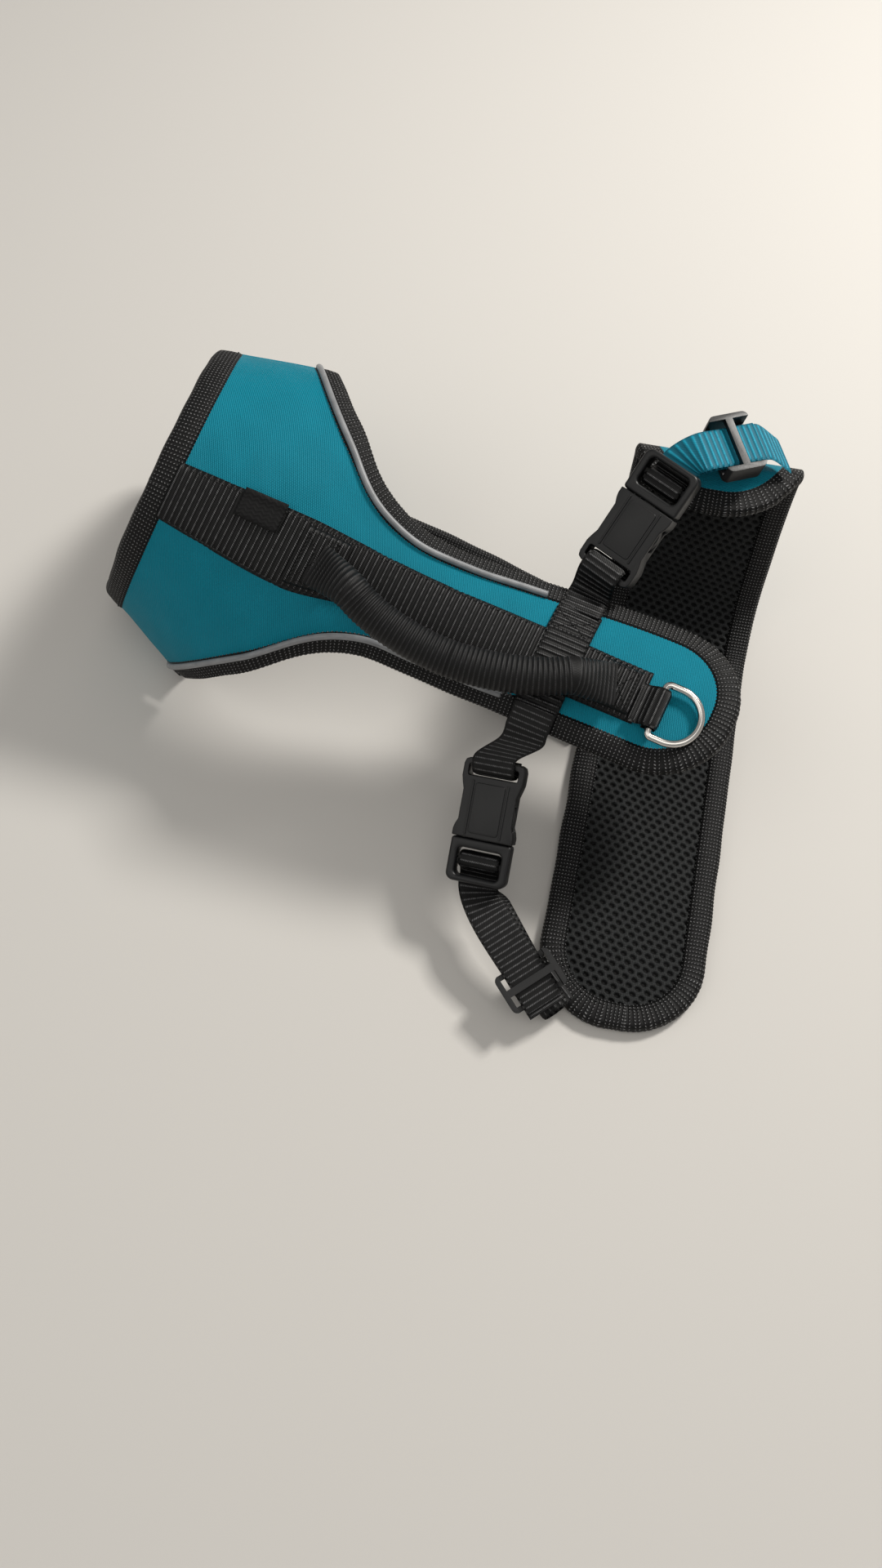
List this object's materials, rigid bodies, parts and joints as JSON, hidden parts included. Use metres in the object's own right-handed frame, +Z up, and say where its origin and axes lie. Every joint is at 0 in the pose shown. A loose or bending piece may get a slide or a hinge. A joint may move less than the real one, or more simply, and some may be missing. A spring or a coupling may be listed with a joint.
{
  "type": "no-pull dog harness",
  "caption": "Padded wrap-around dog harness with a mesh lining, a carrying handle, a leash ring and side-release buckles with strap adjusters.",
  "frame": {"origin": "on the flat underside of the girth panel, where the harness rests", "axes": "+X from the neck opening to the tail end, +Y to the far side, +Z up"},
  "size_m": [0.4312, 0.3121, 0.1575],
  "materials": {
    "teal_twill": "woven polyester twill, satin",
    "air_mesh": "knitted spacer mesh, matt",
    "foam": "closed-cell foam",
    "binding_tape": "woven tape, matt",
    "reflective_piping": "smooth, slightly glossy",
    "teal_webbing": "flat webbing, satin",
    "black_webbing": "ribbed webbing, satin",
    "acetal": "satin moulded",
    "nickel": "polished nickel",
    "label": "blank woven label"
  },
  "bodies": {
    "vest": {"back_panel_binding": "binding_tape", "back_panel_lining": "air_mesh", "back_panel_shell": "teal_twill", "chest_binding_far": "binding_tape", "chest_binding_near": "binding_tape", "chest_panel_lining": "air_mesh", "chest_panel_shell": "teal_twill", "cross_strap": "black_webbing", "d_ring_tab": "black_webbing", "far_adjuster_strap": "teal_webbing", "far_buckle_female": "acetal", "far_reflective_piping": "reflective_piping", "far_short_strap": "black_webbing", "girth_binding": "binding_tape", "girth_panel_lining": "air_mesh", "girth_panel_shell": "teal_twill", "handle_front_tab": "black_webbing", "handle_rear_tab": "black_webbing", "near_adjuster_strap": "black_webbing", "near_anchor_webbing": "black_webbing", "near_buckle_female": "acetal", "near_reflective_piping": "reflective_piping", "near_short_strap": "black_webbing", "neck_binding": "binding_tape", "side_label": "label", "spine_webbing": "black_webbing"},
    "d_ring": {"d_ring": "nickel"},
    "handle": {"handle_sleeve": "black_webbing", "handle_core": "foam"},
    "near_plug": {"near_buckle_male": "acetal"},
    "near_latch_right": {"near_latch_arm_right": "acetal"},
    "near_latch_left": {"near_latch_arm_left": "acetal"},
    "near_slider": {"near_slider": "acetal"},
    "far_plug": {"far_buckle_male": "acetal"},
    "far_latch_right": {"far_latch_arm_right": "acetal"},
    "far_latch_left": {"far_latch_arm_left": "acetal"},
    "far_slider": {"far_slider": "acetal"}
  },
  "joints": [
    {"name": "handle_lift", "type": "hinge", "parent": "vest", "child": "handle", "pos_m": [-0.0455, -0.0528, 0.1098], "axis": [-0.9852, -0.1057, 0.1353], "range_deg": [0, 100]},
    {"name": "d_ring_swing", "type": "hinge", "parent": "vest", "child": "d_ring", "pos_m": [-0.011, -0.05097, 0.09716], "axis": [0.0174, -0.9749, -0.2219], "range_deg": [0, 150]},
    {"name": "near_buckle_release", "type": "slide", "parent": "vest", "child": "near_plug", "axis": [0.2224, -0.8599, -0.4596], "range_m": [0, 0.024], "deforming": ["near_adjuster_strap"]},
    {"name": "near_latch_right_squeeze", "type": "hinge", "parent": "near_plug", "child": "near_latch_right", "pos_m": [-0.07851, -0.13529, 0.04237], "axis": [0.0882, 0.4872, -0.8688], "range_deg": [0, 7], "stiffness_Nm_per_rad": 0.05},
    {"name": "near_latch_left_squeeze", "type": "hinge", "parent": "near_plug", "child": "near_latch_left", "pos_m": [-0.05657, -0.13184, 0.04654], "axis": [-0.0882, -0.4872, 0.8688], "range_deg": [0, 7], "stiffness_Nm_per_rad": 0.05},
    {"name": "near_slider_adjust", "type": "slide", "parent": "vest", "child": "near_slider", "axis": [-0.8384, 0.5107, 0.1902], "range_m": [0, 0.02]},
    {"name": "far_buckle_release", "type": "slide", "parent": "vest", "child": "far_plug", "axis": [0.2166, 0.7652, 0.6063], "range_m": [0, 0.024], "deforming": ["far_adjuster_strap"]},
    {"name": "far_latch_right_squeeze", "type": "hinge", "parent": "far_plug", "child": "far_latch_right", "pos_m": [-0.04577, 0.034, 0.13455], "axis": [0.188, 0.5768, -0.795], "range_deg": [0, 7], "stiffness_Nm_per_rad": 0.05},
    {"name": "far_latch_left_squeeze", "type": "hinge", "parent": "far_plug", "child": "far_latch_left", "pos_m": [-0.06742, 0.04047, 0.13412], "axis": [-0.188, -0.5768, 0.795], "range_deg": [0, 7], "stiffness_Nm_per_rad": 0.05},
    {"name": "far_slider_adjust", "type": "slide", "parent": "vest", "child": "far_slider", "axis": [-0.7263, -0.6824, 0.0823], "range_m": [0, 0.006]}
  ],
  "couplings": [
    {"joint": "near_latch_left_squeeze", "follows": "near_latch_right_squeeze", "ratio": 1},
    {"joint": "far_latch_left_squeeze", "follows": "far_latch_right_squeeze", "ratio": 1}
  ]
}
